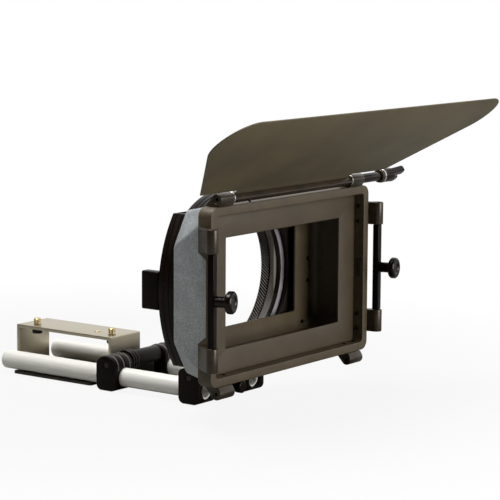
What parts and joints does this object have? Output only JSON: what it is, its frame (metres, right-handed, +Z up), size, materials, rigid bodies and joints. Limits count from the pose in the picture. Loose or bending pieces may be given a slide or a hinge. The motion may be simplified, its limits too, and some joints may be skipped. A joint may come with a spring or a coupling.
{
  "type": "matte box",
  "caption": "Matte box: a hood with a 16:9 front mask, tilting top flag, swinging flag bars, rotating filter stage and lens collar, clamped on parallel rods over a riser base plate",
  "frame": {"origin": "centre of the base plate's flat underside", "axes": "+Z up, +Y back towards the camera, +X to the right seen from in front of the hood"},
  "size_m": [0.352, 0.347, 0.2294],
  "materials": {
    "moulded_black": "satin",
    "hammertone": "hammered",
    "black_anodised": "satin",
    "grey_anodised": "satin",
    "flag_sheet": "matte",
    "bright_aluminium": "satin",
    "nickel_plate": "satin",
    "brass": "satin",
    "steel": "polished"
  },
  "bodies": {
    "base": {"base_plate": "black_anodised", "riser_box": "nickel_plate", "riser_screw_1": "steel", "riser_screw_2": "steel", "middle_web": "black_anodised", "cross_tube": "black_anodised", "locking_collar": "grey_anodised", "middle_clamp_left": "black_anodised", "middle_clamp_right": "black_anodised", "middle_clamp_screw_left": "steel", "middle_clamp_screw_right": "steel", "locating_insert": "brass"},
    "camera_screw_front": {"camera_screw_front": "brass"},
    "camera_screw_rear": {"camera_screw_rear": "brass"},
    "rods": {"rod_left": "bright_aluminium", "rod_right": "bright_aluminium"},
    "hood": {"front_clamp_left": "black_anodised", "front_clamp_right": "black_anodised", "front_clamp_screw_left": "steel", "front_clamp_screw_right": "steel", "front_bridge": "black_anodised", "lens_collar": "black_anodised", "collar_screw_1": "steel", "collar_screw_2": "steel", "collar_screw_3": "steel", "collar_screw_4": "steel", "aperture_plate": "grey_anodised", "retaining_ring": "nickel_plate", "drum_housing": "black_anodised", "lock_block": "black_anodised", "lock_screw": "steel", "hood_shell": "hammertone", "inner_tub": "moulded_black", "front_frame": "moulded_black", "top_knuckle_left": "grey_anodised", "top_knuckle_right": "grey_anodised", "bottom_knuckle_left": "grey_anodised", "bottom_knuckle_right": "grey_anodised", "left_knuckle_upper": "grey_anodised", "left_knuckle_lower": "grey_anodised", "right_knuckle_upper": "grey_anodised", "right_knuckle_lower": "grey_anodised"},
    "clamp_knob": {"front_knob": "black_anodised"},
    "filter_carrier": {"tray_carrier": "black_anodised"},
    "filter_tray": {"filter_tray": "grey_anodised"},
    "mask": {"mask_plate": "moulded_black"},
    "catch_left": {"mask_catch_left": "grey_anodised"},
    "catch_right": {"mask_catch_right": "grey_anodised"},
    "top_flag": {"flag_sheet": "flag_sheet", "flag_bar": "black_anodised", "friction_sleeve": "black_anodised", "friction_washer": "steel"},
    "wing_knob": {"wing_knob": "black_anodised"},
    "side_bar_left": {"side_bar_left": "black_anodised"},
    "thumbscrew_left": {"thumbscrew_left": "black_anodised"},
    "side_bar_right": {"side_bar_right": "black_anodised"},
    "thumbscrew_right": {"thumbscrew_right": "black_anodised"}
  },
  "joints": [
    {"name": "rods_slide", "type": "slide", "parent": "base", "child": "rods", "axis": [0, 1, 0], "range_m": [-0.08, 0.02]},
    {"name": "hood_slide", "type": "slide", "parent": "rods", "child": "hood", "axis": [0, 1, 0], "range_m": [-0.005, 0.04]},
    {"name": "clamp_knob_turn", "type": "hinge", "parent": "hood", "child": "clamp_knob", "pos_m": [0.008, -0.156, 0.0074], "axis": [0, 1, 0], "continuous": true},
    {"name": "filter_rotation", "type": "hinge", "parent": "hood", "child": "filter_carrier", "pos_m": [0, -0.168, 0.0952], "axis": [0, 1, 0], "range_deg": [-180, 0]},
    {"name": "filter_tray_lift", "type": "slide", "parent": "filter_carrier", "child": "filter_tray", "axis": [0, 0, 1], "range_m": [0, 0.1]},
    {"name": "mask_pull", "type": "slide", "parent": "hood", "child": "mask", "axis": [0, 1, 0], "range_m": [-0.012, 0]},
    {"name": "mask_catch_left_press", "type": "slide", "parent": "hood", "child": "catch_left", "axis": [-1, 0, 0], "range_m": [0, 0.0012], "stiffness_N_per_m": 300},
    {"name": "mask_catch_right_press", "type": "slide", "parent": "hood", "child": "catch_right", "axis": [1, 0, 0], "range_m": [0, 0.0012], "stiffness_N_per_m": 300},
    {"name": "top_flag_tilt", "type": "hinge", "parent": "hood", "child": "top_flag", "pos_m": [0, -0.2102, 0.16575], "axis": [1, 0, 0], "range_deg": [-95, 95]},
    {"name": "wing_knob_turn", "type": "hinge", "parent": "top_flag", "child": "wing_knob", "pos_m": [0.13, -0.2102, 0.16575], "axis": [1, 0, 0], "continuous": true},
    {"name": "side_bar_left_swing", "type": "hinge", "parent": "hood", "child": "side_bar_left", "pos_m": [-0.107, -0.2175, 0.0952], "axis": [0, 0, 1], "range_deg": [-127, 28]},
    {"name": "thumbscrew_left_turn", "type": "hinge", "parent": "side_bar_left", "child": "thumbscrew_left", "pos_m": [-0.10335, -0.22945, 0.0952], "axis": [0.2924, -0.9563, 0], "continuous": true},
    {"name": "side_bar_right_swing", "type": "hinge", "parent": "hood", "child": "side_bar_right", "pos_m": [0.107, -0.2175, 0.0952], "axis": [0, 0, 1], "range_deg": [-57, 98]},
    {"name": "thumbscrew_right_turn", "type": "hinge", "parent": "side_bar_right", "child": "thumbscrew_right", "pos_m": [0.1096, -0.22973, 0.0952], "axis": [0.2079, -0.9781, 0], "continuous": true},
    {"name": "camera_screw_front_turn", "type": "hinge", "parent": "base", "child": "camera_screw_front", "pos_m": [-0.0076, -0.0406, 0.037], "axis": [0, 0, 1], "continuous": true},
    {"name": "camera_screw_rear_turn", "type": "hinge", "parent": "base", "child": "camera_screw_rear", "pos_m": [-0.0104, 0.0369, 0.037], "axis": [0, 0, 1], "continuous": true}
  ]
}
